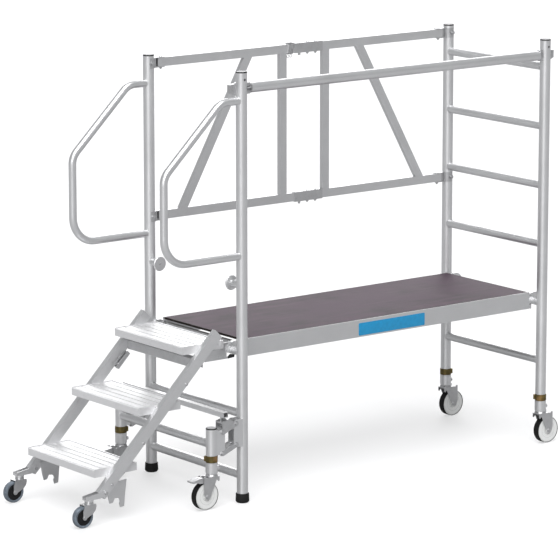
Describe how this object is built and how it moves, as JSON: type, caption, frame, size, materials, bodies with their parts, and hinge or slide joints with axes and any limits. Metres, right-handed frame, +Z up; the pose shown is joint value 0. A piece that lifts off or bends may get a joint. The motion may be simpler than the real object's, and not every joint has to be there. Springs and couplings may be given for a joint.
{
  "type": "mobile work platform",
  "caption": "Folding aluminium work platform on casters, with a plywood deck, guard rails, bent handrails and a hinged stair.",
  "frame": {"origin": "on the floor, under the middle of the whole object", "axes": "+Z up, +X from the stair along the deck, +Y across the deck to the folding guard"},
  "size_m": [2.7266, 0.767, 1.933],
  "materials": {
    "aluminium_tube": "satin brushed",
    "aluminium_profile": "satin extruded",
    "tread_aluminium": "bright ribbed",
    "zinc_steel": "zinc plated",
    "black_plastic": "matte",
    "foot_rubber": "matte",
    "tyre_rubber": "matte",
    "step_tyre_rubber": "matte",
    "wheel_plastic": "moulded",
    "step_wheel_plastic": "moulded",
    "brass_collar": "yellow passivated",
    "deck_plywood": "phenolic film"
  },
  "bodies": {
    "frame": {"left_end_frame": "aluminium_tube", "right_end_frame": "aluminium_tube", "near_handrail": "aluminium_tube", "far_handrail": "aluminium_tube", "post_caps": "black_plastic", "rubber_feet": "foot_rubber", "rail_studs": "aluminium_tube", "front_rail": "aluminium_tube", "front_rail_clamps": "zinc_steel", "guard_left_half": "aluminium_profile", "guard_right_half": "aluminium_profile", "guard_centre_brackets": "zinc_steel", "guard_lock_spring": "zinc_steel", "guard_post_brackets": "zinc_steel", "deck_board": "deck_plywood", "deck_frame": "aluminium_profile", "deck_claws": "aluminium_profile", "link_brackets": "aluminium_profile", "frame_fasteners": "zinc_steel", "right_caster_sockets": "zinc_steel", "right_collars": "brass_collar"},
    "wind_lock": {"wind_lock_hooks": "zinc_steel"},
    "lift_links": {"upper_links": "zinc_steel", "pedal_bar": "aluminium_profile"},
    "lower_links": {"lower_links": "zinc_steel"},
    "carriage": {"carriage_frame": "aluminium_tube", "carriage_sockets": "zinc_steel", "carriage_collars": "brass_collar", "carriage_caps": "black_plastic", "carriage_pins": "zinc_steel"},
    "near_right_swivel": {"near_right_fork": "zinc_steel"},
    "near_right_roller": {"near_right_wheel": "wheel_plastic", "near_right_tyre": "tyre_rubber"},
    "far_right_swivel": {"far_right_fork": "zinc_steel"},
    "far_right_roller": {"far_right_wheel": "wheel_plastic", "far_right_tyre": "tyre_rubber"},
    "near_left_swivel": {"near_left_fork": "zinc_steel"},
    "near_left_roller": {"near_left_wheel": "wheel_plastic", "near_left_tyre": "tyre_rubber"},
    "near_left_pedal": {"near_left_brake": "zinc_steel"},
    "far_left_swivel": {"far_left_fork": "zinc_steel"},
    "far_left_roller": {"far_left_wheel": "wheel_plastic", "far_left_tyre": "tyre_rubber"},
    "far_left_pedal": {"far_left_brake": "zinc_steel"},
    "stair": {"stair_stringers": "aluminium_profile", "stair_treads": "tread_aluminium", "stair_supports": "zinc_steel", "stair_brackets": "aluminium_profile", "stair_bolts": "zinc_steel"},
    "near_step_arm": {"near_caster_arm": "aluminium_profile"},
    "near_step_swivel": {"near_step_fork": "zinc_steel"},
    "near_step_roller": {"near_step_wheel": "step_wheel_plastic", "near_step_tyre": "step_tyre_rubber"},
    "far_step_arm": {"far_caster_arm": "aluminium_profile"},
    "far_step_swivel": {"far_step_fork": "zinc_steel"},
    "far_step_roller": {"far_step_wheel": "step_wheel_plastic", "far_step_tyre": "step_tyre_rubber"}
  },
  "joints": [
    {"name": "wind_lock_turn", "type": "hinge", "parent": "frame", "child": "wind_lock", "pos_m": [1.21575, 0, 0.649], "axis": [0, 1, 0], "range_deg": [0, 35]},
    {"name": "lift_lever", "type": "hinge", "parent": "frame", "child": "lift_links", "pos_m": [-0.55625, 0, 0.371], "axis": [0, 1, 0], "range_deg": [0, 35]},
    {"name": "carriage_level", "type": "hinge", "parent": "lift_links", "child": "carriage", "pos_m": [-0.63025, 0, 0.341], "axis": [0, 1, 0], "range_deg": [-35, 0]},
    {"name": "lower_link_turn", "type": "hinge", "parent": "frame", "child": "lower_links", "pos_m": [-0.55625, 0, 0.275], "axis": [0, 1, 0], "range_deg": [0, 35]},
    {"name": "near_right_swivel_turn", "type": "hinge", "parent": "frame", "child": "near_right_swivel", "pos_m": [1.26375, -0.3475, 0.156], "axis": [0, 0, 1], "continuous": true},
    {"name": "near_right_wheel_roll", "type": "hinge", "parent": "near_right_swivel", "child": "near_right_roller", "pos_m": [1.30075, -0.3475, 0.0625], "axis": [0, 1, 0], "continuous": true},
    {"name": "far_right_swivel_turn", "type": "hinge", "parent": "frame", "child": "far_right_swivel", "pos_m": [1.26375, 0.3475, 0.156], "axis": [0, 0, 1], "continuous": true},
    {"name": "far_right_wheel_roll", "type": "hinge", "parent": "far_right_swivel", "child": "far_right_roller", "pos_m": [1.30075, 0.3475, 0.0625], "axis": [0, 1, 0], "continuous": true},
    {"name": "near_left_swivel_turn", "type": "hinge", "parent": "carriage", "child": "near_left_swivel", "pos_m": [-0.67625, -0.3475, 0.156], "axis": [0, 0, 1], "continuous": true},
    {"name": "near_left_wheel_roll", "type": "hinge", "parent": "near_left_swivel", "child": "near_left_roller", "pos_m": [-0.71325, -0.3475, 0.0625], "axis": [0, 1, 0], "continuous": true},
    {"name": "near_left_brake_press", "type": "hinge", "parent": "near_left_swivel", "child": "near_left_pedal", "pos_m": [-0.72625, -0.3475, 0.135], "axis": [0, -1, 0], "range_deg": [0, 10]},
    {"name": "far_left_swivel_turn", "type": "hinge", "parent": "carriage", "child": "far_left_swivel", "pos_m": [-0.67625, 0.3475, 0.156], "axis": [0, 0, 1], "continuous": true},
    {"name": "far_left_wheel_roll", "type": "hinge", "parent": "far_left_swivel", "child": "far_left_roller", "pos_m": [-0.71325, 0.3475, 0.0625], "axis": [0, 1, 0], "continuous": true},
    {"name": "far_left_brake_press", "type": "hinge", "parent": "far_left_swivel", "child": "far_left_pedal", "pos_m": [-0.72625, 0.3475, 0.135], "axis": [0, -1, 0], "range_deg": [0, 10]},
    {"name": "stair_fold", "type": "hinge", "parent": "frame", "child": "stair", "pos_m": [-0.50625, 0, 0.683], "axis": [0, 1, 0], "range_deg": [-5, 90]},
    {"name": "near_arm_spring", "type": "hinge", "parent": "stair", "child": "near_step_arm", "pos_m": [-1.20104, -0.272, 0.1399], "axis": [0, 1, 0], "range_deg": [0, 30], "stiffness_Nm_per_rad": 12, "springref_deg": -34.38},
    {"name": "near_step_swivel_turn", "type": "hinge", "parent": "near_step_arm", "child": "near_step_swivel", "pos_m": [-1.28125, -0.272, 0.112], "axis": [0, 0, 1], "continuous": true},
    {"name": "near_step_wheel_roll", "type": "hinge", "parent": "near_step_swivel", "child": "near_step_roller", "pos_m": [-1.31525, -0.272, 0.048], "axis": [0, 1, 0], "continuous": true},
    {"name": "far_arm_spring", "type": "hinge", "parent": "stair", "child": "far_step_arm", "pos_m": [-1.20104, 0.272, 0.1399], "axis": [0, 1, 0], "range_deg": [0, 30], "stiffness_Nm_per_rad": 12, "springref_deg": -34.38},
    {"name": "far_step_swivel_turn", "type": "hinge", "parent": "far_step_arm", "child": "far_step_swivel", "pos_m": [-1.28125, 0.272, 0.112], "axis": [0, 0, 1], "continuous": true},
    {"name": "far_step_wheel_roll", "type": "hinge", "parent": "far_step_swivel", "child": "far_step_roller", "pos_m": [-1.31525, 0.272, 0.048], "axis": [0, 1, 0], "continuous": true}
  ],
  "couplings": [
    {"joint": "carriage_level", "follows": "lift_lever", "ratio": -1},
    {"joint": "lower_link_turn", "follows": "lift_lever", "ratio": 1}
  ]
}
